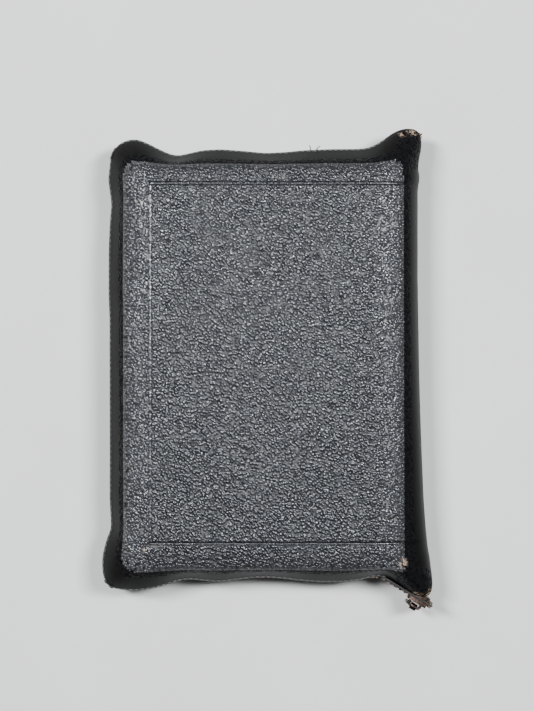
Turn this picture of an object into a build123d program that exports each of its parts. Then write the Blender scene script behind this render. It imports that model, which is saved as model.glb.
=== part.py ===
from build123d import *
import math
import os

# A zip-around limp leather prayer book, lying closed on its front cover.
# +X points to the spine, +Y to the head, +Z up through the back cover.

# ---- Cover ----
thickness = 34.0            # from the front cover's face to the back cover's
half_length = 81.5          # middle to the flap's edge, at head and tail
fore_reach = 58.7           # origin to the flap's edge at the fore edge
flap_corner = 12.0
flap_slope = 30.0           # degrees that a flap leans out from upright
flap_gap = 8.0              # between the edges of the two flaps
crown_radius = 4.0          # rounding between a cover's face and its flap
spine_start = 47.0          # where the cover's face begins to curve into the spine
spine_bulge = 11.5
hinge_run = 8.6             # from spine_start to the line where a cover folds
leather = 1.2
hinge_gap = 0.3

# ---- Boards and papers ----
board = 1.2
board_edge = 1.8            # leather's inner flat to the board, at head, tail and fore edge
lining = 0.4
flyleaf = 0.2
page_margin = 9.5           # flap's edge to the page block, at head and tail
page_fore_margin = 10.2     # flap's edge to the page block, at the fore edge
page_corner = 6.0
block_gap = 1.0             # between the two halves of the page block
sections_per_half = 5
section_gap = 0.05
sheet = 0.16
leaf_pitch = 0.28
leaf_inset = 0.5            # leaf's edge behind the page block's spine edge

# ---- Spine lining ----
mull = 0.35
tape_strip = 0.3
spine_card = 0.6
spine_clearance = 0.3       # pages to the spine's lining
lining_gap = 0.05
card_clearance = 0.25       # mull to the card
spine_lift = 9.0            # cover's face to the edge of the spine's lining
tape_width = 9.0
tape_rows = 4
band = 1.4
band_gap = 0.3

# ---- Zip ----
zip_inset = 2.6             # flap's edge to the middle of the chain
zip_tape = 0.5
tape_start = 0.9            # middle of the chain to the tape's edge
tape_turn = 5.5             # middle of the chain to where the tape meets the flap
tape_top = 11.0
tooth_pitch = 2.0
tooth_width = 0.8
tooth_height = 2.2
tooth_overlap = 0.8
tooth_depth = 2.2
tooth_waist = 0.4
tape_clearance = 0.02

# ---- Ears at the ends of the spine ----
ear_set_back = 3.2          # spine_start to where the chain turns into an ear
ear_angle = 31.0            # degrees that the chain turns away from the flap
head_ear = 18.0             # length of chain in the ear at the head
tail_end = 0.4              # stops to the end of the ear at the tail
ear_gap = 4.2               # middle of the chain to the ear's leather
ear_lip = 0.6               # how far an ear's leather passes over the chain
ear_side = 4.5
ear_root = 5.0              # flap's edge to the ear's inner edge
ear_clearance = 0.3

# ---- Slider and pull tab ----
slider_near = 9.0           # start of the ear to the slider, when it is run back
slider_travel = 4.0
slider_length = 7.6
slider_plate = 0.8
slider_half_height = 3.7
slider_rear_half = 3.1
slider_clearance = 0.15
flange = 0.6
slit_half = 0.45
divider_length = 2.2
crown_wire = 1.0
crown_half = 2.3
crown_rise = 1.9
crown_bend = 0.9
knuckle_radius = 1.3
knuckle_bore = 0.65
knuckle_width = 2.4
tab_drop = 14.5
tab_plate = 10.2            # length of the tab's wide part
tab_width = 4.6
tab_corner = 1.5
tab_thickness = 1.0
tab_slot = 1.6
tab_slot_length = 4.4
tab_slot_end = 1.9          # slot to the tab's tip
stop_length = 1.3
stop_gap = 0.3

# ---- Worked out from the sizes above ----
zip_z = thickness / 2
slope = math.radians(flap_slope)
hinge_x = spine_start + hinge_run
hinge_rise = zip_z * math.sqrt(1 - (hinge_run / spine_bulge) ** 2)
zip_y = half_length - zip_inset
stack = leather + board + lining + flyleaf
far = 3 * half_length       # longer than the object, for cutting tools
past = spine_start + 2 * spine_bulge    # where the flaps' outline ends, past the spine
page_half_length = half_length - page_margin
page_fore = fore_reach - page_fore_margin
page_top = zip_z - block_gap / 2
strip_out = spine_clearance + tape_strip
mull_out = strip_out + lining_gap + mull
card_in = leather + lining_gap
page_bulge = spine_bulge - card_in - spine_card - card_clearance - mull_out
page_rise = zip_z - leather - mull_out
spine_reach = zip_z - spine_lift
leaf_edge = spine_start + page_bulge - leaf_inset
slider_rear = slider_near + slider_travel
tail_ear = slider_rear + slider_length + stop_gap + stop_length + tail_end
ear_start = spine_start - ear_set_back
ear = math.radians(ear_angle)
ear_x = ear_start - ear_lip * math.sin(ear)
cover_end = ear_x - ear_clearance


def flap_outline(inset):
    """Outline at the flap's edge, moved in; it runs on past the spine."""
    reach = fore_reach - inset
    with BuildSketch(mode=Mode.PRIVATE) as outline:
        with Locations(((past - reach) / 2, 0)):
            Rectangle(past + reach, 2 * (half_length - inset))
        corners = outline.vertices().group_by(Axis.X)[0]
        fillet(corners, flap_corner - inset)
    return outline.sketch


def spine_section(skin):
    """Cross-section of the book across its spine, moved in by a skin."""
    with BuildSketch(mode=Mode.PRIVATE) as section:
        with Locations(((spine_start - far) / 2, zip_z)):
            Rectangle(spine_start + far, thickness - 2 * skin)
        with Locations((spine_start, zip_z)):
            Ellipse(spine_bulge - skin, zip_z - skin)
    return section.sketch


def wrap(skin):
    """Outer shape of the closed cover, moved in by a skin."""
    inset = skin / math.cos(slope)
    with BuildPart() as shape:
        with BuildSketch(Plane.XY.offset(zip_z + flap_gap / 2)):
            add(flap_outline(inset))
        extrude(amount=zip_z - flap_gap / 2 - skin, taper=flap_slope)
        face = shape.faces().sort_by(Axis.Z)[-1]
        fillet(face.edges(), crown_radius - skin)
        mirror(about=Plane.XY.offset(zip_z))
        with BuildSketch(Plane.XY.offset(zip_z - flap_gap / 2)):
            add(flap_outline(inset))
        extrude(amount=flap_gap)
        with BuildSketch(Plane.XZ):
            add(spine_section(skin))
        extrude(amount=far, both=True, mode=Mode.INTERSECT)
    return shape.part


def across(x_low, x_high, z_low, z_high):
    """Cutting tool as wide as the object, between two x and two z."""
    with BuildPart() as block:
        with BuildSketch(Plane.XZ):
            with Locations(((x_low + x_high) / 2, (z_low + z_high) / 2)):
                Rectangle(x_high - x_low, z_high - z_low)
        extrude(amount=far, both=True)
    return block.part


def flipped(piece):
    """The same piece on the front cover's side."""
    return piece.mirror(Plane.XY.offset(zip_z))


def spine_band(bulge, rise, depth, half_y, y_middle=0.0):
    """Curved strip behind the page block, from its outer half-axes inwards by its depth."""
    with BuildPart() as strip:
        with BuildSketch(Plane.XZ.offset(-y_middle)):
            with Locations((spine_start, zip_z)):
                Ellipse(bulge, rise)
                Ellipse(bulge - depth, rise - depth, mode=Mode.SUBTRACT)
            with Locations((spine_start + far / 2, zip_z)):
                Rectangle(far, 2 * spine_reach, mode=Mode.INTERSECT)
        extrude(amount=half_y, both=True)
    return strip.part


def page_outline(z_low, depth):
    """Sheets of the page block between two heights, rounded at spine and fore corners."""
    with BuildPart() as pages:
        with BuildSketch(Plane.XY.offset(z_low)) as outline:
            with Locations(((far - page_fore) / 2, 0)):
                Rectangle(far + page_fore, 2 * page_half_length)
            fillet(outline.vertices().group_by(Axis.X)[0], page_corner)
        extrude(amount=depth)
        with BuildSketch(Plane.XZ):
            with Locations(((spine_start - far) / 2, zip_z)):
                Rectangle(spine_start + far, thickness)
            with Locations((spine_start, zip_z)):
                Ellipse(page_bulge, page_rise)
        extrude(amount=far, both=True, mode=Mode.INTERSECT)
    return pages.part


# ---- Leather ----
outer = wrap(0)
inner = wrap(leather)
ear_top = ear_gap + leather
flap_edge = zip_z + flap_gap / 2

with BuildPart() as back_cover_leather:
    add(outer)
    add(inner, mode=Mode.SUBTRACT)
    add(across(-far, hinge_x - hinge_gap / 2, flap_edge, thickness + far), mode=Mode.INTERSECT)
    ear_cut = zip_z + ear_top + ear_clearance
    add(across(cover_end, far, 0, ear_cut), mode=Mode.SUBTRACT)
back_cover_leather.part.label = "back_cover_leather"
export_parts = [back_cover_leather.part]

with BuildPart() as front_cover_leather:
    add(flipped(back_cover_leather.part))
front_cover_leather.part.label = "front_cover_leather"
export_parts.append(front_cover_leather.part)


def chain_plane(side, run):
    """Plane on the ear's chain: x back along it, z out of the book; side is 1 at the head."""
    spot = (
        ear_start + run * math.cos(ear),
        side * (zip_y + run * math.sin(ear)),
        zip_z,
    )
    back = (-math.cos(ear), -side * math.sin(ear), 0)
    out = (-math.sin(ear), side * math.cos(ear), 0)
    return Plane(origin=spot, x_dir=back, z_dir=out)


def ear_leather(side, length):
    """The two leather plates that hold the end of the zip."""
    start = chain_plane(side, 0).from_local_coords((0, 0, ear_lip))
    tip = chain_plane(side, length).from_local_coords((0, 0, ear_lip))
    root_y = side * (half_length - ear_root)
    with BuildPart() as plates:
        with BuildSketch(Plane.XY.offset(zip_z + ear_gap)):
            with BuildLine():
                Polyline(
                    (start.X, start.Y),
                    (tip.X, tip.Y),
                    (tip.X + ear_lip, tip.Y - side * ear_side),
                    (spine_start + spine_bulge - leather, root_y),
                    (start.X, root_y),
                    close=True,
                )
            make_face()
        extrude(amount=leather)
        mirror(about=Plane.XY.offset(zip_z))
    return plates.part


with BuildPart() as spine_leather:
    add(outer)
    add(inner, mode=Mode.SUBTRACT)
    add(across(hinge_x + hinge_gap / 2, far, 0, thickness), mode=Mode.INTERSECT)
    add(ear_leather(1, head_ear))
    add(ear_leather(-1, tail_ear))
spine_leather.part.label = "spine_leather"
export_parts.append(spine_leather.part)

# ---- Boards, linings and flyleaves ----
inner_edge = (thickness / 2 - flap_gap / 2 - leather) * math.tan(slope) + leather / math.cos(slope)
board_half = half_length - inner_edge - board_edge
board_fore = fore_reach - inner_edge - board_edge


def flat_sheet(z_low, depth, half_y, x_low, x_high, corner):
    with BuildPart() as plate:
        with BuildSketch(Plane.XY.offset(z_low)) as outline:
            with Locations(((x_low + x_high) / 2, 0)):
                Rectangle(x_high - x_low, 2 * half_y)
            fillet(outline.vertices().group_by(Axis.X)[0], corner)
        extrude(amount=depth)
    return plate.part


with BuildPart() as front_board:
    add(flat_sheet(leather, board, board_half, -board_fore, spine_start, page_corner))
front_board.part.label = "front_board"

with BuildPart() as front_lining:
    add(flat_sheet(leather + board, lining, board_half, -board_fore, spine_start, page_corner))
front_lining.part.label = "front_lining"

with BuildPart() as front_flyleaf:
    add(page_outline(stack - flyleaf, flyleaf))
front_flyleaf.part.label = "front_flyleaf"

section_pitch = (page_top - stack + section_gap) / sections_per_half

with BuildPart() as front_pages:
    for section in range(sections_per_half):
        add(page_outline(stack + section * section_pitch, section_pitch - section_gap))
front_pages.part.label = "front_pages"

front_stack = {
    "board": front_board.part,
    "lining": front_lining.part,
    "flyleaf": front_flyleaf.part,
    "pages": front_pages.part,
}
export_parts += front_stack.values()

for name, piece in front_stack.items():
    with BuildPart() as back_piece:
        add(flipped(piece))
    back_piece.part.label = "back_" + name
    export_parts.append(back_piece.part)

# ---- Single leaves at the opening ----
for number in (1, 2, 3):
    leaf_z = zip_z + (number - 2) * leaf_pitch
    leaf_half = page_half_length - leaf_inset
    with BuildPart() as leaf:
        add(flat_sheet(leaf_z - sheet / 2, sheet, leaf_half, -page_fore, leaf_edge, page_corner))
    leaf.part.label = f"leaf_{number}"
    export_parts.append(leaf.part)

# ---- Spine lining, from the pages outwards ----
band_out = mull_out - mull - lining_gap
strip_pitch = 2 * page_half_length / tape_rows

with BuildPart() as sewing_tapes:
    for row in range(tape_rows):
        strip_y = (row + 0.5) * strip_pitch - page_half_length
        strip = spine_band(
            page_bulge + strip_out, page_rise + strip_out, tape_strip, tape_width / 2, strip_y
        )
        add(strip)
sewing_tapes.part.label = "sewing_tapes"

with BuildPart() as spine_mull:
    mull_half = page_half_length + band_gap + band
    add(spine_band(page_bulge + mull_out, page_rise + mull_out, mull, mull_half))
spine_mull.part.label = "spine_mull"

with BuildPart() as spine_inlay:
    add(spine_band(spine_bulge - card_in, zip_z - card_in, spine_card, page_half_length))
spine_inlay.part.label = "spine_inlay"

export_parts += [sewing_tapes.part, spine_mull.part, spine_inlay.part]

for side, name in ((1, "head_band"), (-1, "tail_band")):
    middle = side * (page_half_length + band_gap + band / 2)
    with BuildPart() as head_or_tail_band:
        add(spine_band(page_bulge + band_out, page_rise + band_out, band, band / 2, middle))
    head_or_tail_band.part.label = name
    export_parts.append(head_or_tail_band.part)

# ---- Zip tapes on the covers ----


def tape_shell(inset):
    """Space inside one face of the upper tape."""
    with BuildPart() as space:
        with BuildSketch(Plane.XY.offset(zip_z + tape_start)):
            add(flap_outline(inset))
        extrude(amount=tape_turn - tape_start)
        with BuildSketch(Plane.XY.offset(zip_z + tape_turn)):
            add(flap_outline(inset))
        extrude(amount=tape_top - tape_turn, taper=flap_slope)
    return space.part


with BuildPart() as upper_zip_tape:
    add(tape_shell(zip_inset - zip_tape / 2))
    add(tape_shell(zip_inset + zip_tape / 2), mode=Mode.SUBTRACT)
    add(across(-far, cover_end, 0, thickness), mode=Mode.INTERSECT)
upper_zip_tape.part.label = "upper_zip_tape"

with BuildPart() as lower_zip_tape:
    add(flipped(upper_zip_tape.part))
lower_zip_tape.part.label = "lower_zip_tape"
export_parts += [upper_zip_tape.part, lower_zip_tape.part]

# ---- Teeth ----
with BuildPart() as tooth:
    with BuildSketch(Plane.YZ):
        with BuildLine():
            half = tooth_depth / 2
            slot = zip_tape / 2 + tape_clearance
            tip = half - tooth_waist
            Polyline(
                (slot, tooth_height),
                (half, tooth_height),
                (half, tooth_waist),
                (tip, -tooth_overlap),
                (-tip, -tooth_overlap),
                (-half, tooth_waist),
                (-half, tooth_height),
                (-slot, tooth_height),
                (-slot, tape_start),
                (slot, tape_start),
                close=True,
            )
        make_face()
    extrude(amount=tooth_width / 2, both=True)
upper_tooth = tooth.part
lower_tooth = upper_tooth.mirror(Plane.XY)

with BuildLine() as chain:
    chain_fore = zip_inset - fore_reach
    FilletPolyline(
        (ear_start, zip_y, zip_z),
        (chain_fore, zip_y, zip_z),
        (chain_fore, -zip_y, zip_z),
        (ear_start, -zip_y, zip_z),
        radius=flap_corner - zip_inset,
    )
chain_wire = chain.wires()[0]


def along_chain(first):
    """Places along the chain on the covers, one pitch apart."""
    count = int((chain_wire.length - first - tooth_pitch / 2) / tooth_pitch) + 1
    places = []
    for number in range(count):
        run = first + number * tooth_pitch
        spot = chain_wire.position_at(run, position_mode=PositionMode.LENGTH)
        way = chain_wire.tangent_at(run, position_mode=PositionMode.LENGTH)
        places.append(Plane(origin=spot, x_dir=way, z_dir=(0, 0, 1)).location)
    return places


with BuildPart() as upper_zip_teeth:
    with Locations(*along_chain(tooth_pitch)):
        add(upper_tooth)
upper_zip_teeth.part.label = "upper_zip_teeth"

with BuildPart() as lower_zip_teeth:
    with Locations(*along_chain(tooth_pitch * 1.5)):
        add(lower_tooth)
lower_zip_teeth.part.label = "lower_zip_teeth"
export_parts += [upper_zip_teeth.part, lower_zip_teeth.part]


def ear_places(side, first, last):
    """Places for teeth along an ear's chain."""
    places = []
    run = first
    while run <= last:
        flat = chain_plane(side, run)
        places.append(Plane(origin=flat.origin, x_dir=flat.x_dir, z_dir=(0, 0, 1)).location)
        run += tooth_pitch
    return places


def chain_block(side, run, length, n_half, z_low, z_high):
    """Upright block around an ear's chain, from run onwards, with its lower twin."""
    with BuildPart() as block:
        with BuildSketch(chain_plane(side, run + length / 2)):
            for middle in ((z_low + z_high) / 2, -(z_low + z_high) / 2):
                with Locations((0, middle)):
                    Rectangle(length, z_high - z_low)
        extrude(amount=n_half, both=True)
    return block.part


head_last = head_ear - stop_length - tooth_pitch
tail_last = slider_rear + tooth_pitch / 2

for side, name, length, last in (
    (1, "head", head_ear, head_last),
    (-1, "tail", tail_ear, tail_last),
):
    with BuildPart() as end_tapes:
        add(chain_block(side, 0, length, zip_tape / 2, tape_start, ear_gap))
    end_tapes.part.label = name + "_end_tapes"
    with BuildPart() as end_teeth:
        with Locations(*ear_places(side, tooth_pitch / 2, last)):
            add(upper_tooth)
        with Locations(*ear_places(side, tooth_pitch, last)):
            add(lower_tooth)
    end_teeth.part.label = name + "_end_teeth"
    export_parts += [end_tapes.part, end_teeth.part]

# ---- Stops ----
stop_half = tooth_depth / 2
stop_slot = zip_tape / 2 + tape_clearance
head_stop_run = head_ear - stop_length - stop_gap

with BuildPart() as head_stop:
    add(chain_block(1, head_stop_run, stop_length, stop_half, 0, tooth_height))
    slots = chain_block(1, 0, head_ear, stop_slot, tape_start, ear_gap)
    add(slots, mode=Mode.SUBTRACT)
head_stop.part.label = "head_stop"

with BuildPart() as tail_stops:
    stop_run = slider_rear + slider_length + stop_gap
    stop_low = tape_start - tooth_waist
    stop_high = ear_gap - tooth_waist
    add(chain_block(-1, stop_run, stop_length, stop_half, stop_low, stop_high))
    slots = chain_block(-1, 0, tail_ear, stop_slot, tape_start, ear_gap)
    add(slots, mode=Mode.SUBTRACT)
tail_stops.part.label = "tail_stops"
export_parts += [head_stop.part, tail_stops.part]

# ---- Slider ----
slider_middle = slider_rear + slider_length / 2
channel = tooth_depth / 2 + slider_clearance
slider_face = channel + slider_plate
rear_x = slider_length / 2
front_x = -slider_length / 2


def slider_outline(margin, past=0.0):
    """Slider seen from outside the book: narrow at the rear, wide at the front."""
    with BuildSketch(mode=Mode.PRIVATE) as outline:
        with BuildLine():
            Polyline(
                (rear_x + past, -slider_rear_half + margin),
                (rear_x + past, slider_rear_half - margin),
                (0, slider_half_height - margin),
                (front_x - past, slider_half_height - margin),
                (front_x - past, -slider_half_height + margin),
                (0, -slider_half_height + margin),
                close=True,
            )
        make_face()
    return outline.sketch


with BuildPart() as slider_body:
    middle = chain_plane(-1, slider_middle)
    for way in (1, -1):
        with BuildSketch(middle.offset(way * slit_half)):
            add(slider_outline(0))
            add(slider_outline(flange, flange), mode=Mode.SUBTRACT)
        extrude(amount=way * (channel - slit_half))
        with BuildSketch(middle.offset(way * channel)) as plate:
            add(slider_outline(0))
            fillet(plate.vertices(), flange)
        extrude(amount=way * slider_plate)
    with BuildSketch(middle):
        with Locations((front_x + divider_length / 2, 0)):
            Rectangle(divider_length, 2 * (tape_start - slider_clearance))
    extrude(amount=channel, both=True)
slider_body.part.label = "slider_body"

wire_out = slider_face + crown_rise
crown_side = Plane(origin=middle.origin, x_dir=middle.x_dir, z_dir=(0, 0, -1))
out_sign = 1 if crown_side.y_dir.dot(middle.z_dir) > 0 else -1

with BuildPart() as slider_crown:
    with BuildLine(crown_side):
        FilletPolyline(
            (-crown_half, out_sign * slider_face),
            (-crown_half, out_sign * wire_out),
            (crown_half, out_sign * wire_out),
            (crown_half, out_sign * slider_face),
            radius=crown_bend,
        )
    foot = middle.from_local_coords((-crown_half, 0, slider_face))
    with BuildSketch(Plane(origin=foot, x_dir=middle.x_dir, z_dir=middle.z_dir)):
        Circle(crown_wire / 2)
    sweep()
slider_crown.part.label = "slider_crown"

# ---- Pull tab, hanging from the crown ----
wire_middle = middle.from_local_coords((0, 0, wire_out))
knuckle_plane = Plane(origin=wire_middle, x_dir=(0, 0, 1), z_dir=middle.x_dir)
tab_plane = Plane(origin=wire_middle, x_dir=middle.x_dir, z_dir=middle.z_dir)
down = 1 if tab_plane.y_dir.Z < 0 else -1

with BuildPart() as pull_tab:
    with BuildSketch(knuckle_plane):
        Circle(knuckle_radius)
    extrude(amount=knuckle_width / 2, both=True)
    with BuildSketch(tab_plane):
        with Locations((0, down * tab_drop / 4)):
            Rectangle(knuckle_width, tab_drop / 2)
        with Locations((0, down * (tab_drop - tab_plate / 2))):
            RectangleRounded(tab_width, tab_plate, tab_corner)
        with Locations((0, down * (tab_drop - tab_slot_end - tab_slot_length / 2))):
            SlotOverall(tab_slot_length, tab_slot, rotation=90, mode=Mode.SUBTRACT)
    extrude(amount=tab_thickness / 2, both=True)
    with BuildSketch(knuckle_plane):
        Circle(knuckle_bore)
    extrude(amount=tab_width, both=True, mode=Mode.SUBTRACT)
pull_tab.part.label = "pull_tab"
export_parts += [slider_body.part, slider_crown.part, pull_tab.part]

os.makedirs("parts", exist_ok=True)
for piece in export_parts:
    export_step(piece, f"parts/{piece.label}.step")
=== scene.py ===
import contextlib
import math

import bmesh
import bpy
import numpy as np
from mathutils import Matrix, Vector


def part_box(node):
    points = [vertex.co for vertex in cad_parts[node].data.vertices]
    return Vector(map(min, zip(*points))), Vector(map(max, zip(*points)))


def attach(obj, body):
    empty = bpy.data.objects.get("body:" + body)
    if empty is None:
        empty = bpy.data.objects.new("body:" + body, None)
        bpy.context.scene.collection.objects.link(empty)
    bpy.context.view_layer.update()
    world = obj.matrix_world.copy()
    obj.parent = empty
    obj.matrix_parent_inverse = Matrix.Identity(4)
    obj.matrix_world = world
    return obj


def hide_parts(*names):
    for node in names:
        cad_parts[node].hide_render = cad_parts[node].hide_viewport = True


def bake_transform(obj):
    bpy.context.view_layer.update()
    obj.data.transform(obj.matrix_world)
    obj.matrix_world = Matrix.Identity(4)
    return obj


# A zip-around black leather prayer book, lying closed on its front cover.
# Everything is in metres, in the CAD's frame: +X to the spine, +Y to the head, +Z up.

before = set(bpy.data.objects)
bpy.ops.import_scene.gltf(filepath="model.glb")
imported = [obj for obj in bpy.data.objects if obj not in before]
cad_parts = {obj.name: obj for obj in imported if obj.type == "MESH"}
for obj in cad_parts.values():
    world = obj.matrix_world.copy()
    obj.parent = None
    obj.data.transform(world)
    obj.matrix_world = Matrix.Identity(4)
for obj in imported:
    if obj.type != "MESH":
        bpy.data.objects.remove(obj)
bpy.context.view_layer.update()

MM = 0.001

# ---- Sizes from the frame ----
back_low, back_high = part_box("back_cover_leather")
board_low, board_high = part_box("back_board")

TOP = back_high[2]
ZIP_Z = TOP / 2
FLAP_Z = back_low[2]
HALF_Y = back_high[1]
FORE_X = -back_low[0]
LEATHER = TOP - board_high[2]
CORNER = 12 * MM                 # corner radius of the flaps' outline
SPINE_START = board_high[0]
SPINE_BULGE = 11.5 * MM
PLATEAU = 6.0 * MM               # flat part of the corner, inside the flap's slope

ZIP_INSET = 2.6 * MM             # flap's edge to the middle of the chain
TAPE_START = 0.9 * MM            # middle of the chain to the tape's edge
TAPE = 0.5 * MM
BEND_START = 43 * MM             # where the leather and pages begin to bend


# ---- Small helpers ----
def smooth_step(low, high, value):
    t = np.clip((value - low) / (high - low), 0, 1)
    return t * t * (3 - 2 * t)


def mesh_object(name, points, faces, smooth=True):
    mesh = bpy.data.meshes.new(name)
    mesh.from_pydata([tuple(p) for p in points], [], faces)
    mesh.validate()
    mesh.update()
    if smooth:
        mesh.polygons.foreach_set("use_smooth", [True] * len(mesh.polygons))
    return link(name, mesh)


def link(name, mesh):
    made = bpy.data.objects.new(name, mesh)
    bpy.context.scene.collection.objects.link(made)
    return made


@contextlib.contextmanager
def editing(piece):
    """Opens a piece's mesh for editing, and writes it back."""
    work = bmesh.new()
    work.from_mesh(piece.data)
    yield work
    work.to_mesh(piece.data)
    work.free()


def unit(vector):
    return vector / max(np.linalg.norm(vector), 1e-9)


def add_tube(points, faces, rings, sides=6):
    """Adds a closed tube: each ring is a centre, two directions across it and a radius."""
    base = len(points)
    for centre, side, up, radius in rings:
        for k in range(sides):
            angle = 2 * math.pi * k / sides
            points.append(centre + (side * math.cos(angle) + up * math.sin(angle)) * radius)
    last = base + (len(rings) - 1) * sides
    for ring in range(base, last, sides):
        for k in range(sides):
            a, b = ring + k, ring + (k + 1) % sides
            faces.append((a, b, b + sides, a + sides))
    faces.append(tuple(base + k for k in reversed(range(sides))))
    faces.append(tuple(last + k for k in range(sides)))


def shell_faces(layers, rows, columns):
    """Outer faces of a block of points, numbered by layer, then row, then column."""

    def spot(k, i, j):
        return (k * rows + i) * columns + j

    faces = []
    for i in range(rows - 1):
        for j in range(columns - 1):
            for k, turn in ((0, -1), (layers - 1, 1)):
                quad = (spot(k, i, j), spot(k, i + 1, j), spot(k, i + 1, j + 1), spot(k, i, j + 1))
                faces.append(quad[::turn])
    for k in range(layers - 1):
        for i in range(rows - 1):
            for j, turn in ((0, 1), (columns - 1, -1)):
                quad = (spot(k, i, j), spot(k, i + 1, j), spot(k + 1, i + 1, j), spot(k + 1, i, j))
                faces.append(quad[::turn])
        for j in range(columns - 1):
            for i, turn in ((0, -1), (rows - 1, 1)):
                quad = (spot(k, i, j), spot(k, i, j + 1), spot(k + 1, i, j + 1), spot(k + 1, i, j))
                faces.append(quad[::turn])
    return faces


def paint(piece, *materials):
    piece.data.materials.clear()
    for material in materials:
        piece.data.materials.append(material)


def bend_between(piece, upper):
    """Bakes the piece's placement into its mesh, the same way for upper and lower pieces."""
    if upper:
        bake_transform(piece)
    else:
        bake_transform(piece)


# ---- Materials ----
class Shader:
    """A node material with short calls for its nodes."""

    def __init__(self, name):
        self.material = bpy.data.materials.new(name)
        self.material.use_nodes = True
        self.tree = self.material.node_tree
        self.surface = self.tree.nodes["Principled BSDF"]
        place = self.tree.nodes.new("ShaderNodeTexCoord")
        self.place = place.outputs["Object"]

    def set(self, **values):
        names = {
            "roughness": "Roughness", "metallic": "Metallic",
            "specular": "Specular IOR Level", "sheen": "Sheen Weight",
        }
        for key, value in values.items():
            self.surface.inputs[names[key]].default_value = value

    def node(self, kind, inputs=None, **settings):
        made = self.tree.nodes.new("ShaderNode" + kind)
        for key, value in settings.items():
            setattr(made, key, value)
        for key, value in (inputs or {}).items():
            self.feed(made.inputs[key], value)
        return made

    def feed(self, socket, value):
        """Links another node's output to a socket, or sets the socket to a constant."""
        if isinstance(value, bpy.types.NodeSocket):
            self.tree.links.new(value, socket)
        else:
            socket.default_value = value

    def scaled(self, x, y, z):
        """The object's coordinates, in metres, stretched along each axis."""
        return self.node("Mapping", {"Vector": self.place, "Scale": (x, y, z)}).outputs[0]

    def noise(self, size, detail=3.0, roughness=0.55, vector=None):
        made = self.node("TexNoise", {
            "Vector": vector or self.place, "Scale": 1 / size,
            "Detail": detail, "Roughness": roughness,
        })
        return made.outputs["Fac"]

    def math(self, operation, first, second=0.0, third=0.0):
        made = self.node("Math", operation=operation)
        for socket, value in zip(made.inputs, (first, second, third)):
            self.feed(socket, value)
        return made.outputs[0]

    def chain(self, value, *terms):
        """Adds each term, times its factor, to a value."""
        for term, factor in terms:
            value = self.math("MULTIPLY_ADD", term, factor, value)
        return value

    def ramp(self, value, *stops):
        made = self.node("ValToRGB", {"Fac": value})
        points = made.color_ramp.elements
        while len(points) < len(stops):
            points.new(1.0)
        for point, (place, colour) in zip(points, stops):
            point.position = place
            if not isinstance(colour, tuple):
                colour = (colour, colour, colour)
            point.color = (*colour, 1)
        return made.outputs["Color"]

    def mix(self, share, first, second, blend_type="MIX"):
        colours = [(*c, 1) if isinstance(c, tuple) else c for c in (first, second)]
        inputs = {"Fac": share, "Color1": colours[0], "Color2": colours[1]}
        return self.node("MixRGB", inputs, blend_type=blend_type).outputs[0]

    def bump(self, height, depth):
        made = self.node("Bump", {"Height": height, "Distance": depth, "Strength": 1.0})
        return made.outputs[0]

    def finish(self, colour=None, roughness=None, normal=None):
        for key, value in (("Base Color", colour), ("Roughness", roughness), ("Normal", normal)):
            if value is not None:
                self.tree.links.new(value, self.surface.inputs[key])
        return self.material


PEBBLE = 0.92 * MM               # middle to middle of the grain's cells
LARGE_CELL = 4.6 * MM            # the same for the larger creases
WORN_TAN = (0.36, 0.26, 0.18)
WORN_SPOTS = (                   # where the leather is rubbed through to tan: place and reach
    ((55.6, 89.0, 21.5), 3.4),
    ((51.5, 88.0, 22.5), 2.6),
    ((62.2, -85.6, 21.5), 3.2),
    ((57.5, -85.6, 22.0), 2.6),
    ((51.6, -73.0, 32.0), 2.6),
    ((60.6, -55.6, 18.5), 1.0),
    ((-44.4, -67.6, 33.2), 1.6),
)
TOOLED_X = -42.6                 # lines pressed into the face, in millimetres
TOOLED_Y = (68.4, -65.4)
TOOLED_END = 57.0


def grain_cells(s):
    """Distance to the nearest cell's middle, the cells' own tones, and the larger creases."""
    wobble = s.node("TexNoise", {"Vector": s.place, "Scale": 1 / (2.2 * MM), "Detail": 2.0})
    shift = s.node("VectorMath", {0: wobble.outputs["Color"], "Scale": 0.45 * MM},
                   operation="SCALE")
    moved = s.node("VectorMath", {0: s.place, 1: shift.outputs[0]}, operation="ADD").outputs[0]
    stretch = {"Vector": moved, "Rotation": (0, 0, 0.6), "Scale": (1.0, 1.3, 1.0)}
    drawn = s.node("Mapping", stretch, vector_type="TEXTURE").outputs[0]
    cells = s.node("TexVoronoi", {"Vector": drawn, "Scale": 1 / PEBBLE, "Randomness": 0.95})
    tones = s.node("SeparateColor", {"Color": cells.outputs["Color"]})
    large = s.node("TexVoronoi", {"Vector": drawn, "Scale": 1 / LARGE_CELL},
                   feature="DISTANCE_TO_EDGE")
    return cells.outputs["Distance"], tones, large.outputs["Distance"]


def untooled(s, place):
    """1 on the grain and 0.2 in the three tooled lines, which are pressed smooth."""
    past_x = s.math("SUBTRACT", TOOLED_X * MM, place.outputs[0])
    line = s.math("ABSOLUTE", past_x)
    for spot, way in zip(TOOLED_Y, (1, -1)):
        past_y = s.math("MULTIPLY", s.math("SUBTRACT", place.outputs[1], spot * MM), way)
        line = s.math("MAXIMUM", line, past_y)
    for spot in TOOLED_Y:
        other = s.math("ABSOLUTE", s.math("SUBTRACT", place.outputs[1], spot * MM))
        line = s.math("MINIMUM", line, s.math("MAXIMUM", other, past_x))
    return s.ramp(s.math("DIVIDE", line, 2 * MM), (0.12, 0.2), (0.42, 1.0))


def highlight_on_shoulders(s, place):
    """A mask of the padding's two long shoulders, where painted highlight makes the leather greyer and
    lower roughness makes it shinier.
    """
    across = s.math("MULTIPLY_ADD", place.outputs[0], 1 / (120 * MM), 0.5)
    return s.ramp(across, (0.035, 0.0), (0.065, 1.0), (0.115, 1.0), (0.165, 0.0),
                  (0.835, 0.0), (0.885, 1.0), (0.905, 1.0), (0.93, 0.0))


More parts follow.
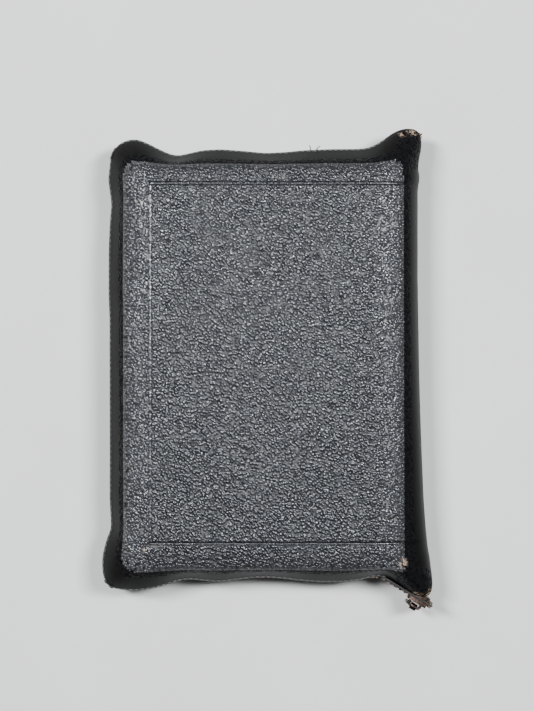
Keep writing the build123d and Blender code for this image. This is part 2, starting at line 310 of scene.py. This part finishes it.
def worn_through(s, tops):
    """Flecks on the tops of the grain near each worn spot."""
    worn = 0.0
    for spot, reach in WORN_SPOTS:
        centre = tuple(c * MM for c in spot)
        gap = s.node("VectorMath", {0: s.place, 1: centre}, operation="DISTANCE")
        close = s.math("SUBTRACT", 1.0, s.math("DIVIDE", gap.outputs["Value"], reach * MM))
        worn = s.math("MAXIMUM", close, worn)
    flecks = s.ramp(s.noise(0.7 * MM, 4.0, 0.75), (0.44, 0.0), (0.62, 1.0))
    worn = s.math("MULTIPLY", s.math("MULTIPLY", worn, 2.2), flecks)
    return s.math("MINIMUM", s.math("MULTIPLY", worn, tops), 0.85)


def leather_material(name, gloss, rough_low, grain_depth, top_highlight_colour, highlight_strength):
    """Pebbled black leather: small raised cells with creases between, worn through at the corners;
    painted highlight lightens the pebble tops and shoulders, and painted shade darkens the creases.
    """
    s = Shader(name)
    near, tones, large = grain_cells(s)
    steep = s.math("POWER", s.math("MULTIPLY", near, 1.42), 3.0)
    pebble = s.math("MAXIMUM", s.math("SUBTRACT", 1.0, steep), 0.0)
    crease = s.math("MINIMUM", s.math("MULTIPLY", large, 9.0), 1.0)
    size = s.math("MULTIPLY_ADD", tones.outputs[0], 0.55, 0.55)
    height = s.math("MULTIPLY_ADD", pebble, size, s.math("MULTIPLY", crease, 0.25))
    place = s.node("SeparateXYZ", {0: s.place})
    grained = untooled(s, place)
    height = s.math("MULTIPLY", height, grained)
    tops = s.ramp(pebble, (0.3, 0.0), (0.95, 1.0))
    # Painted highlight: on the shoulders the pebble tops are lighter and bluish, and the roughness is
    # lower.
    shoulder_highlight = s.math("MULTIPLY", highlight_on_shoulders(s, place), highlight_strength)
    lit = s.mix(shoulder_highlight, top_highlight_colour, (0.035, 0.0355, 0.04))
    # Painted shade and highlight: the creases are near black, the pebble tops lighter and bluish.
    base = s.mix(tops, (0.001, 0.001, 0.0014), lit)
    worn = worn_through(s, tops)
    rough = s.chain(
        rough_low,
        (s.noise(13 * MM, 4.0, 0.62), 0.16),
        (tones.outputs[1], 0.14),
        (s.math("SUBTRACT", 1.0, tops), 0.25),
        (worn, 0.3),
        (shoulder_highlight, -0.09),
        (s.math("SUBTRACT", grained, 1.0), 0.08),
    )
    s.set(specular=gloss)
    return s.finish(s.mix(worn, base, WORN_TAN), rough, s.bump(height, grain_depth))


def smooth_leather_material(name, shade, gloss):
    """The dressed, nearly smooth leather of cut edges and of the flaps' lower half; its grey copy also
    draws a painted highlight line along the flaps' edge.
    """
    s = Shader(name)
    patches = s.noise(2.2 * MM, 4.0)
    fine = s.noise(0.25 * MM, 3.0)
    colour = s.ramp(patches, (0.3, tuple(0.6 * c for c in shade)), (0.75, shade))
    rough = s.math("MULTIPLY_ADD", fine, 0.2, 0.36)
    s.set(specular=gloss)
    return s.finish(colour, rough, s.bump(fine, 0.05 * MM))


def metal_material(name, bright, dull, wear):
    """Plated zip metal, worn bright in some patches and dull in others."""
    s = Shader(name)
    stain = s.noise(1.1 * MM, 5.0, 0.65)
    scratch = s.noise(0.12 * MM, 2.0, 0.5, s.scaled(1, 1, 0.18))
    colour = s.mix(s.ramp(stain, (0.38, 0.0), (0.38 + wear, 1.0)), dull, bright)
    rough = s.math("MULTIPLY_ADD", stain, -0.22, s.math("MULTIPLY_ADD", scratch, 0.18, 0.4))
    s.set(metallic=1.0)
    return s.finish(colour, rough, s.bump(scratch, 0.02 * MM))


def woven_material(name, dark, light, pitch, sheen=0.3):
    """Cloth of crossed threads."""
    s = Shader(name)
    threads = []
    for place in (s.place, s.scaled(1, 1, -1)):
        inputs = {"Vector": place, "Scale": 1 / (pitch * 3), "Distortion": 0.6,
                  "Detail": 1.0, "Detail Scale": 2.0}
        threads.append(s.node("TexWave", inputs, bands_direction="DIAGONAL").outputs["Fac"])
    weave = s.math("MULTIPLY", *threads)
    fuzz = s.noise(0.2 * MM, 4.0)
    colour = s.mix(s.math("MULTIPLY_ADD", fuzz, 0.4, weave), dark, light)
    s.set(sheen=sheen, roughness=0.85)
    return s.finish(colour, None, s.bump(weave, 0.12 * MM))


def paper_material(name, edge, face):
    """A block of thin sheets: fine lines along its cut edges, toned towards the outside."""
    s = Shader(name)
    lines = s.noise(0.09 * MM, 2.0, 0.6, s.scaled(0.02, 0.02, 1))
    stack = s.noise(0.7 * MM, 3.0, 0.6, s.scaled(0.01, 0.01, 1))
    fibre = s.noise(0.35 * MM, 4.0, 0.7)
    stain = s.noise(22 * MM, 3.0)
    tone = s.mix(s.ramp(stain, (0.35, 0.0), (0.8, 1.0)), face, edge)
    mix_lines = s.math("MULTIPLY_ADD", stack, 0.5, s.math("MULTIPLY", lines, 0.6))
    dark_lines = s.ramp(mix_lines, (0.36, 0.55), (0.62, 1.0))
    shaded = s.mix(0.75, tone, dark_lines, "MULTIPLY")
    height = s.math("MULTIPLY_ADD", fibre, 0.1, mix_lines)
    s.set(roughness=0.88, specular=0.2)
    return s.finish(shaded, None, s.bump(height, 0.1 * MM))


def sheet_material(name, colour, speck):
    """One flat sheet of thin paper, with fibres and a slight cockle."""
    s = Shader(name)
    fibre = s.noise(0.4 * MM, 5.0, 0.7)
    cockle = s.noise(14 * MM, 2.0)
    tone = s.ramp(fibre, (0.35, speck), (0.7, colour))
    height = s.math("MULTIPLY_ADD", fibre, 0.03, cockle)
    s.set(roughness=0.9, specular=0.2)
    return s.finish(tone, None, s.bump(height, 0.4 * MM))


def banded_material(name, first, second, pitch):
    """Two threads wound in turn, striped along z."""
    s = Shader(name)
    wave = s.node("TexWave", {"Vector": s.place, "Scale": 1 / (pitch * 3)}, bands_direction="Z")
    colour = s.mix(s.ramp(wave.outputs["Fac"], (0.45, 0.0), (0.55, 1.0)), first, second)
    s.set(roughness=0.6, sheen=0.3)
    return s.finish(colour, None, s.bump(wave.outputs["Fac"], 0.15 * MM))


LEATHER_BLACK = leather_material("black_leather", 0.6, 0.09, 0.45 * MM, (0.013, 0.0133, 0.0165), 1.0)
# A darker, duller copy of the grained leather for the steep walls: painted shade.
LEATHER_DIM = leather_material("dull_shaded_black_leather", 0.045, 0.25, 0.3 * MM, (0.0035, 0.0035, 0.004), 0.0)
# Grey cut edge; the same grey on the outermost strip of the face is a painted highlight line.
EDGE_GREY_AND_HIGHLIGHT = smooth_leather_material("leather_cut_edge_and_highlight_line", (0.05, 0.048, 0.05), 0.3)
# Smooth leather of the flaps' lower half and the spine's curve; its smoothness is the leather's own, its
# darkness and dullness are painted shade.
BINDING = smooth_leather_material("smooth_shaded_black_leather", (0.003, 0.0029, 0.0025), 0.05)
TEETH_METAL = metal_material("zip_teeth_metal", (0.2, 0.14, 0.1), (0.012, 0.009, 0.008), 0.45)
SLIDER_METAL = metal_material("slider_metal", (0.075, 0.05, 0.038), (0.006, 0.005, 0.0045), 0.4)
ZIP_CLOTH = woven_material("zip_tape_cloth", (0.003, 0.003, 0.003), (0.018, 0.018, 0.018), 0.5 * MM, 0.1)
MULL_CLOTH = woven_material("mull_cloth", (0.3, 0.27, 0.22), (0.72, 0.68, 0.58), 0.8 * MM)
TAPE_CLOTH = woven_material("sewing_tape_cloth", (0.5, 0.47, 0.4), (0.85, 0.82, 0.75), 0.5 * MM)
PAPER_BLOCK = paper_material("page_block_paper", (0.62, 0.5, 0.34), (0.82, 0.76, 0.62))
PAPER_SHEET = sheet_material("leaf_paper", (0.86, 0.81, 0.7), (0.78, 0.71, 0.58))
LINING_PAPER = sheet_material("lining_paper", (0.03, 0.03, 0.034), (0.018, 0.018, 0.02))
CARD = sheet_material("greyboard", (0.42, 0.38, 0.31), (0.3, 0.27, 0.22))
BAND_THREAD = banded_material("head_band_thread", (0.35, 0.02, 0.02), (0.75, 0.68, 0.5), 1.0 * MM)
THREAD = smooth_leather_material("waxed_thread", (0.075, 0.074, 0.07), 0.3)


# ---- The leather cover ----
# The flaps' edge isn't straight: the zip pulls it in between the corners, and the
# corners and the ends of the spine stand out. Points on that edge, in millimetres.
EDGE_POINTS = (
    (58.4, 0), (58.0, 20), (57.8, 34), (57.8, 54), (57.8, 67), (57.8, 76), (58.7, 81.5),
    (59.6, 86.0), (58.8, 89.2), (55.0, 90.6), (50.5, 89.9), (47.0, 87.8), (44.3, 85.6), (42.0, 84.2),
    (39.6, 83.0), (36, 82.5), (24, 82.4), (14.8, 82.0), (8, 81.3), (0, 80.9), (-8, 81.7),
    (-17, 82.4), (-24, 82.0), (-28.5, 80.9), (-33, 79.9), (-36, 80.5), (-40, 82.3), (-44.5, 84.7),
    (-49, 86.3), (-53, 85.7), (-56.2, 83.8), (-58.3, 80.6), (-58.9, 75), (-58.9, 67), (-58.2, 62),
    (-58.9, 54), (-59.3, 44), (-59.3, 28), (-58.9, 18), (-58.9, -50), (-58.3, -61), (-60.0, -65),
    (-61.3, -70), (-61.7, -76), (-60.9, -81), (-58.2, -83.7), (-53, -84.4), (-47, -84.4),
    (-42, -83.6), (-37.5, -82.4), (-33, -80.7), (-28, -80.2), (-22, -80.9), (-17, -81.3),
    (-12.5, -80.6), (-5.7, -79.8), (0, -79.4), (6, -79.8), (12.5, -80.6), (20, -81.3), (30, -81.2),
    (35, -80.6), (39.5, -79.6), (43, -78.7), (47, -80.4), (51.5, -83.1), (55.5, -85.6),
    (58.5, -87.3), (61.5, -87.5), (63.2, -85.2), (63.5, -81), (62.8, -76), (61.9, -69.5),
    (61.1, -62), (60.2, -50), (59.8, -40), (59.3, -28), (58.8, -15),
)


def edge_place(cx, cy, dx, dy):
    """Position along the plain outline, for a corner of the core and a direction from it."""
    half = HALF_Y - CORNER
    width = SPINE_START + FORE_X - CORNER
    angle = np.arctan2(dy, dx)
    fore = np.abs(angle) > math.pi - 1e-6
    up = CORNER * angle + cy + (SPINE_START - cx)
    down = CORNER * angle + cy - (SPINE_START - cx)
    place = np.where(angle >= 0, up, down)
    return np.where(fore, CORNER * math.pi + 2 * half + width - cy, place)


def edge_moves():
    """How far each listed point stands from the plain outline, in order of position."""
    half = HALF_Y - CORNER
    rows = []
    for x, y in np.array(EDGE_POINTS) * MM:
        cx, cy = np.clip(x, -FORE_X + CORNER, SPINE_START), np.clip(y, -half, half)
        way = np.array((x - cx, y - cy)) / math.hypot(x - cx, y - cy)
        reach = SPINE_BULGE if way[0] > 0 else CORNER
        place = float(edge_place(cx, cy, *way))
        rows.append((place, x - cx - way[0] * reach, y - cy - way[1] * CORNER))
    return np.array(sorted(rows)).T


EDGE_MOVES = edge_moves()
EDGE_TURN = 2 * (CORNER * math.pi + 2 * (HALF_Y - CORNER) + SPINE_START + FORE_X - CORNER)


def pushed(cx, cy, dx, dy):
    """How far the flap's edge stands out from the plain outline, in one direction."""
    place = edge_place(cx, cy, dx, dy)
    moves = []
    for row in EDGE_MOVES[1:]:
        near = [np.interp(place + step * MM, EDGE_MOVES[0], row, period=EDGE_TURN)
                for step in (-1.6, -0.8, 0, 0.8, 1.6)]
        moves.append(sum(near) / len(near))
    return moves


def flap_fall(rho):
    """Share of the flap's height that it has fallen by, from 0 at the face to 1 at the edge."""
    bend = 0.22
    start = -PLATEAU / (CORNER - PLATEAU)
    run = (rho * CORNER - PLATEAU) / (CORNER - PLATEAU)

    def soft(t):
        return (t + np.sqrt(t * t + bend * bend)) / 2

    return (soft(run) - soft(start)) / (soft(1.0) - soft(start))


def core_steps(low, high, pitch, fine_at):
    """Grid lines between two coordinates, closer together around the tooled lines."""
    lines = list(np.linspace(low, high, max(2, int((high - low) / pitch) + 1)))
    for spot in fine_at:
        lines += list(spot + np.linspace(-2.0, 2.0, 17) * MM)
    lines = np.array(sorted(line for line in lines if low <= line <= high))
    keep = [lines[0]]
    for line in lines[1:]:
        if line - keep[-1] > 0.18 * MM:
            keep.append(line)
    keep[-1] = high
    return keep


MARGIN_ROWS = 26
GRID = 1.3 * MM
GRAIN, DIM, SMOOTH, EDGE = range(4)
LEVELS = (0.54, 0.68, 0.985)     # shares of the margin where the leather turns to the duller, darker grain (painted shade), to dark smooth leather (smooth, with painted shade) and to the grey edge line (painted highlight)
SPINE_LEVELS = (0.44, 0.68, 2.0)
EAR_SMOOTH = 0.97                # an ear keeps its grain almost to the edge
LOWER_MOVE = 0.92                # the lower flaps follow the zip a little less
EAR_LIFT = 1.3 * MM              # an ear lies above the slider and teeth
DOME = 0.5 * MM                  # the padded face is a little proud in the middle


def cover_grid():
    """The sheet's flat grid: corners of the core, and directions and distances from it."""
    core_x, core_y = -FORE_X + CORNER, HALF_Y - CORNER
    turn = np.sin(np.linspace(0, math.pi / 2, MARGIN_ROWS + 1))[1:]
    xs = core_steps(core_x, SPINE_START, GRID, (TOOLED_X * MM,))
    ys = core_steps(-core_y, core_y, GRID, [line * MM for line in TOOLED_Y])

    def with_margins(core):
        places = [core[0]] * MARGIN_ROWS + core + [core[-1]] * MARGIN_ROWS
        return places, [*-turn[::-1], *([0.0] * len(core)), *turn]

    (col_x, col_r), (row_y, row_r) = with_margins(xs), with_margins(ys)
    cx, cy = np.meshgrid(col_x, row_y, indexing="ij")
    ra, rb = np.meshgrid(col_r, row_r, indexing="ij")
    dx = ra * np.sqrt(1 - rb**2 / 2)
    dy = rb * np.sqrt(1 - ra**2 / 2)
    rho = np.minimum(np.hypot(dx, dy), 1.0)
    return cx, cy, dx, dy, rho


def tooled_depth(x, y):
    """Depth of the three lines pressed into the face near its edges."""
    within = (y < (TOOLED_Y[0] + 0.5) * MM) & (y > (TOOLED_Y[1] - 0.5) * MM)
    depth = 0.16 * MM * within * np.exp(-(((x / MM - TOOLED_X) / 0.6) ** 2))
    within = (x > (TOOLED_X - 0.5) * MM) & (x < TOOLED_END * MM)
    for line in TOOLED_Y:
        depth += 0.36 * MM * within * np.exp(-(((y / MM - line) / 0.55) ** 2))
    return depth


def cover_height(x, y, rho, spine_share):
    """Height of the upper cover, with its flaps, rounded spine, ears, padding and lines."""
    flap = (TOP - FLAP_Z) * flap_fall(rho)
    curve = (TOP - ZIP_Z) * (1 - np.sqrt(np.maximum(0, 1 - rho**2)))
    ears = smooth_step(0.4, 0.97, spine_share)
    fall = (1 - ears) * flap + ears * curve
    near_spine = smooth_step(0.02, 0.3, spine_share) * (1 - ears)
    fall -= EAR_LIFT * near_spine * smooth_step(0.5, 1.0, rho)
    wave = 0.35 * MM * np.sin(x * 95 + 0.6) * np.sin(y * 71 + 1.1)
    wave += 0.2 * MM * np.sin(y * 230) * np.sin(x * 310)
    z = TOP - fall + wave * smooth_step(0.35, 0.9, rho) * (1 - ears)
    dome = (1 - (x / FORE_X) ** 2) * (1 - (y / HALF_Y) ** 2)
    z += DOME * np.clip(dome, 0, 1) + 0.12 * MM * np.sin(x * 130 + 2) * np.sin(y * 90)
    # The padding slopes off towards the fore edge and the spine, and a little at head and tail.
    z -= 1.7 * MM * (1 - smooth_step(-54.0 * MM, -43.0 * MM, x))
    z -= 1.0 * MM * smooth_step(42.0 * MM, 49.5 * MM, x)
    z -= 0.5 * MM * (1 - smooth_step(0, 8 * MM, HALF_Y - CORNER + PLATEAU - np.abs(y)))
    return z - tooled_depth(x, y)


def cover_finish(spread, share):
    """Material of one face, at its share of the margin and of the spine's direction."""
    dulls, smooths, ends = ((1 - share) * flap + share * spine
                            for flap, spine in zip(LEVELS, SPINE_LEVELS))
    if 0.02 < share < 0.8:
        smooths = EAR_SMOOTH
    for level, finish in ((ends, EDGE), (smooths, SMOOTH), (dulls, DIM)):
        if spread > level:
            return finish
    return GRAIN


def cover_sheet(name, upper):
    """One half of the cover in one sheet: face, flaps, ears and its half of the spine."""
    cx, cy, dx, dy, rho = cover_grid()
    spine_share = np.where(dx > 0, dx**2 / np.maximum(rho, 1e-9) ** 2, 0.0)
    move = 1 if upper else LOWER_MOVE
    grip = smooth_step(0.3, 1.0, rho) * move
    move_x, move_y = pushed(cx, cy, dx, dy)
    x = cx + dx * np.where(dx > 0, SPINE_BULGE, CORNER) + move_x * grip
    y = cy + dy * CORNER + move_y * grip
    z = cover_height(x, y, rho, spine_share)
    if not upper:
        z = 2 * ZIP_Z - z
    rows, columns = x.shape
    points = np.stack([x, y, z], axis=-1).reshape(-1, 3)
    faces, finishes = [], []
    for i in range(rows - 1):
        for j in range(columns - 1):
            a, b = i * columns + j, (i + 1) * columns + j
            faces.append((a, b, b + 1, a + 1) if upper else (a, a + 1, b + 1, b))
            spread = max(rho[i, j], rho[i + 1, j + 1])
            finishes.append(cover_finish(spread, spine_share[i, j]))
    sheet = mesh_object(name, points, faces)
    paint(sheet, LEATHER_BLACK, LEATHER_DIM, BINDING, EDGE_GREY_AND_HIGHLIGHT)
    sheet.data.polygons.foreach_set("material_index", finishes)

    # The rim, from the head end of the spine round the three open sides.
    rim = (
        [(i, 0) for i in range(rows)]
        + [(rows - 1, j) for j in range(1, columns)]
        + [(i, columns - 1) for i in range(rows - 2, -1, -1)]
        + [(0, j) for j in range(columns - 2, 0, -1)]
    )
    after_spine = rows + columns - 1
    rim = rim[after_spine:] + rim[:after_spine]
    reach = CORNER - ZIP_INSET
    inner = [(min(max(i, 3), rows - 4), min(max(j, 3), columns - 4)) for i, j in rim]
    loop = np.array([points[i * columns + j] for i, j in rim])
    inside = np.array([points[i * columns + j] for i, j in inner])
    chain = np.array([(cx[at] + dx[at] * reach, cy[at] + dy[at] * reach) for at in rim])
    return sheet, loop, inside, chain


def thicken(sheet, depth):
    """Gives the sheet its thickness inwards, with the cut edge as its own material."""
    modifier = sheet.modifiers.new("thickness", "SOLIDIFY")
    modifier.thickness = depth
    modifier.offset = -1
    modifier.use_even_offset = False
    modifier.material_offset_rim = EDGE
    bpy.context.view_layer.update()
    graph = bpy.context.evaluated_depsgraph_get()
    made = bpy.data.meshes.new_from_object(sheet.evaluated_get(graph))
    sheet.modifiers.clear()
    old = sheet.data
    sheet.data = made
    bpy.data.meshes.remove(old)


HALVES = (("upper", True), ("lower", False))
covers = {}
for half, upper in HALVES:
    sheet, *rims = cover_sheet(f"{half}_cover", upper)
    thicken(sheet, LEATHER)
    bend_between(sheet, upper)
    covers[half] = (sheet, *rims)
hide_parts("back_cover_leather", "spine_leather")
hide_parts("front_cover_leather")


# ---- Stitches along the flaps' edges ----
STITCH_PITCH = 2.1 * MM
STITCH = 1.5 * MM                # length of one stitch
STITCH_SET_IN = 1.5 * MM         # flap's edge to the stitches
THREAD_RADIUS = 0.2 * MM


def stitch_rings(first, last, normal):
    """One stitch: a short thread that rises from the leather and sinks into it again."""
    side = np.cross(normal, unit(last - first))
    for t in np.linspace(0, 1, 5):
        swell = math.sin(math.pi * (0.12 + 0.76 * t))
        centre = first + (last - first) * t + normal * THREAD_RADIUS * (1.1 * swell - 0.75)
        yield centre, side, normal, THREAD_RADIUS * (0.55 + 0.45 * swell)


def stitch_row(name, loop, inside, upper):
    """Short thread stitches just inside the edge of one flap."""
    steps = np.linalg.norm(np.diff(loop, axis=0), axis=1)
    run = np.concatenate([[0], np.cumsum(steps)])

    def edge_at(place):
        """Point on the edge, and the way from it to the leather inside it."""
        edge, inner = (np.array([np.interp(place, run, row[:, k]) for k in range(3)])
                       for row in (loop, inside))
        return edge, inner - edge

    points, faces = [], []
    for number in range(int(run[-1] / STITCH_PITCH)):
        middle = (number + 0.5) * STITCH_PITCH
        ends = []
        for place in (middle - STITCH / 2, middle + STITCH / 2):
            edge, inward = edge_at(place)
            ends.append(edge + unit(inward) * STITCH_SET_IN)
        if (ends[0][0] + ends[1][0]) / 2 > SPINE_START - 1 * MM:
            continue
        normal = unit(np.cross(unit(ends[1] - ends[0]), edge_at(middle)[1]))
        if (normal[2] > 0) != upper:
            normal = -normal
        add_tube(points, faces, list(stitch_rings(*ends, normal)))
    row = mesh_object(name, points, faces)
    paint(row, THREAD)
    bend_between(row, upper)


for half, upper in HALVES:
    sheet, loop, inside, chain = covers[half]
    stitch_row(f"{half}_cover_stitches", loop, inside, upper)


# ---- Zip tapes, from the teeth up to the leather ----
TAPE_SET_IN = 2.1 * MM           # flap's edge to the tape behind it
TAPE_OVERLAP = 0.9 * MM          # how far the tape goes up behind the flap


def tape_strip(name, node, loop, inside, chain, upper):
    """A cloth strip from the teeth to the inner side of one flap's edge."""
    low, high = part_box(node)
    way = 1 if upper else -1
    start = ZIP_Z + way * TAPE_START
    sections = []
    for edge, inner, (x, y) in zip(loop, inside, chain):
        if x > high[0]:
            continue
        toward = unit((inner - edge)[:2])
        bottom, top = np.array((x, y)), edge[:2] + toward * TAPE_SET_IN
        side = toward * TAPE / 2
        sections += [(*(bottom + sign * side), start) for sign in (-1, 1)]
        sections += [(*(top + sign * side), edge[2] + way * TAPE_OVERLAP) for sign in (1, -1)]
    faces = []
    for a in range(0, len(sections) - 4, 4):
        for k in range(4):
            faces.append((a + k, a + (k + 1) % 4, a + 4 + (k + 1) % 4, a + 4 + k))
    faces += [(3, 2, 1, 0), tuple(len(sections) - 4 + k for k in range(4))]
    strip = mesh_object(name, sections, faces, smooth=False)
    with editing(strip) as work:
        bmesh.ops.recalc_face_normals(work, faces=work.faces)
    paint(strip, ZIP_CLOTH)
    bend_between(strip, upper)
    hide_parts(node)


for half, upper in HALVES:
    tape_strip(f"{half}_tape", f"{half}_zip_tape", *covers[half][1:], upper)


# ---- Loose thread ends at the head ----
THREAD_ENDS = (                  # stops of each bent end, in millimetres
    ((16.6, 80.6, 22.6), (17.0, 81.8, 21.9), (17.1, 82.8, 21.6), (16.6, 83.8, 21.7)),
    ((18.6, 80.6, 22.6), (19.2, 81.8, 21.9), (19.9, 82.9, 21.7), (20.8, 83.5, 21.9)),
)


def thread_end(name, stops, radius):
    """A short bent end of thread, as a tapering tube through its stops."""
    path = [Vector(stop) * MM for stop in stops]
    rings = []
    for number, centre in enumerate(path):
        before, after = path[max(number - 1, 0)], path[min(number + 1, len(path) - 1)]
        way = (after - before).normalized()
        side = way.cross(Vector((0, 0, 1))).normalized()
        width = radius * (1 - 0.5 * number / (len(path) - 1))
        rings.append((centre, side, side.cross(way), width))
    points, faces = [], []
    add_tube(points, faces, rings)
    end = mesh_object(name, points, faces)
    paint(end, THREAD)
    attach(end, "back_cover")


for number, stops in enumerate(THREAD_ENDS, 1):
    thread_end(f"thread_end_{number}", stops, 0.28 * MM)


# ---- Page block ----
PAGE_LAYERS = 21
PAGE_CORNER = 6 * MM
FORE_HOLLOW = 1.5 * MM           # depth of the hollow along the fore edge
PAGE_COVERING = 2.2 * MM         # board, leather and lining outside the pages


def block_point(low, high, k, u, v):
    """A point of the half block: its layer, its share from fore edge to spine, and across."""
    z = low[2] + (high[2] - low[2]) * k / (PAGE_LAYERS - 1)
    bow = (z - ZIP_Z) / (TOP / 2 - PAGE_COVERING)
    spine = SPINE_START + (high[0] - SPINE_START) * math.sqrt(max(0.0, 1 - bow**2))
    ruffle = 0.1 * MM * math.sin(k * 12.9898)
    y = v * (high[1] + ruffle * 0.6)
    start = low[0] + FORE_HOLLOW * (1 - bow**2) + ruffle
    inside = min(max(abs(y) - (high[1] - PAGE_CORNER), 0.0), PAGE_CORNER)
    start += PAGE_CORNER - math.sqrt(PAGE_CORNER**2 - inside**2)
    return start + (spine - start) * u, y, z


def leafy_block(name, node, upper):
    """Half of the page block as a bent grid, so that its faces follow the gutter smoothly."""
    low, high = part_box(node)
    fore, middle = np.linspace(0, 0.06, 7), np.linspace(0.09, 0.84, 16)
    along = np.concatenate([fore, middle, np.linspace(0.86, 1.0, 26)])
    rim = np.linspace(0.9, 1, 8)
    across = np.concatenate([-rim[::-1], np.linspace(-0.85, 0.85, 18), rim])
    points = [block_point(low, high, k, u, v)
              for k in range(PAGE_LAYERS) for u in along for v in across]
    block = mesh_object(name, points, shell_faces(PAGE_LAYERS, len(along), len(across)))
    with editing(block) as work:
        bmesh.ops.remove_doubles(work, verts=work.verts, dist=0.001 * MM)
        bmesh.ops.recalc_face_normals(work, faces=work.faces)
        for edge in work.edges:
            if len(edge.link_faces) == 2 and edge.calc_face_angle(0) > 0.9:
                edge.smooth = False
    paint(block, PAPER_BLOCK)
    bend_between(block, upper)
    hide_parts(node)


def bent_copy(name, node, upper, material):
    """A thin sheet as a fine grid over the CAD sheet, with closer rows from BEND_START to the spine."""
    low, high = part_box(node)
    bending = np.linspace(BEND_START, high[0], 20)[1:]
    along = np.concatenate([np.linspace(low[0], BEND_START, 12), bending])
    across = np.linspace(low[1], high[1], 20)
    points = [(x, y, z) for z in (low[2], high[2]) for x in along for y in across]
    sheet = mesh_object(name, points, shell_faces(2, len(along), len(across)), smooth=False)
    paint(sheet, material)
    bend_between(sheet, upper)
    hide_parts(node)


leafy_block("upper_page_block", "back_pages", True)
leafy_block("lower_page_block", "front_pages", False)
bent_copy("upper_flyleaf", "back_flyleaf", True, PAPER_SHEET)
bent_copy("lower_flyleaf", "front_flyleaf", False, PAPER_SHEET)


# ---- Zip ends, split into upper and lower pieces ----
def islands(work):
    """The separate lumps of a mesh, each as a list of its vertices."""
    left = set(work.verts)
    while left:
        island, queue = [], [left.pop()]
        while queue:
            vert = queue.pop()
            island.append(vert)
            near = {edge.other_vert(vert) for edge in vert.link_edges} & left
            left -= near
            queue += near
        yield island


def split_copy(node, material):
    """The CAD's upper and lower teeth or tapes at one end of the spine, as two separate pieces."""
    for half, upper in HALVES:
        piece = link(f"{half}_{node}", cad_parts[node].data.copy())
        with editing(piece) as work:
            bmesh.ops.remove_doubles(work, verts=work.verts, dist=0.0005 * MM)
            drop = []
            for island in islands(work):
                middle = sum(vert.co.z for vert in island) / len(island)
                if (middle > ZIP_Z) != upper:
                    drop += island
            bmesh.ops.delete(work, geom=drop, context="VERTS")
        paint(piece, material)
        bend_between(piece, upper)
        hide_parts(node)


for end in ("head", "tail"):
    split_copy(f"{end}_end_teeth", TEETH_METAL)
    split_copy(f"{end}_end_tapes", ZIP_CLOTH)

# ---- CAD pieces that keep their shape ----
FINISHES = {
    "upper_zip_teeth": TEETH_METAL, "lower_zip_teeth": TEETH_METAL,
    "head_stop": TEETH_METAL, "tail_stops": TEETH_METAL,
    "slider_body": SLIDER_METAL, "slider_crown": SLIDER_METAL, "pull_tab": SLIDER_METAL,
    "spine_mull": MULL_CLOTH, "sewing_tapes": TAPE_CLOTH, "spine_inlay": CARD,
    "front_board": CARD, "back_board": CARD,
    "front_lining": LINING_PAPER, "back_lining": LINING_PAPER,
    "head_band": BAND_THREAD, "tail_band": BAND_THREAD,
    "leaf_1": PAPER_SHEET, "leaf_2": PAPER_SHEET, "leaf_3": PAPER_SHEET,
}
for node, material in FINISHES.items():
    paint(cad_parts[node], material)

# ---- Floor, light and camera ----
floor = mesh_object("floor", [(-3, -3, 0), (3, -3, 0), (3, 3, 0), (-3, 3, 0)], [(0, 1, 2, 3)])
ground = Shader("floor_paint")
speck = ground.noise(60 * MM, 3.0)
ground.set(roughness=0.8)
pale = ground.ramp(speck, (0.3, (0.5, 0.49, 0.475)), (0.7, (0.53, 0.52, 0.505)))
paint(floor, ground.finish(pale))


def soft_light(name, place, size, power):
    light = bpy.data.lights.new(name, "AREA")
    light.shape = "RECTANGLE"
    light.size, light.size_y = size
    light.energy = power
    light.color = (0.93, 0.96, 1.0)
    made = link(name, light)
    made.location = place
    made.rotation_euler = (-Vector(place)).to_track_quat("-Z", "Y").to_euler()


soft_light("left_light", (-0.39, 0.2, 1.05), (0.14, 0.32), 24)
soft_light("right_light", (0.41, 0.16, 1.05), (0.14, 0.32), 22)

world = bpy.data.worlds.new("studio")
world.use_nodes = True
background = world.node_tree.nodes["Background"]
background.inputs["Color"].default_value = (0.9, 0.92, 0.95, 1)
background.inputs["Strength"].default_value = 0.09
bpy.context.scene.world = world

camera_data = bpy.data.cameras.new("camera")
camera_data.lens = 100
camera_data.sensor_width = 36
camera = link("camera", camera_data)
camera.location = (0.5 * MM, 4.4 * MM, ZIP_Z + 750 * MM)
bpy.context.scene.camera = camera
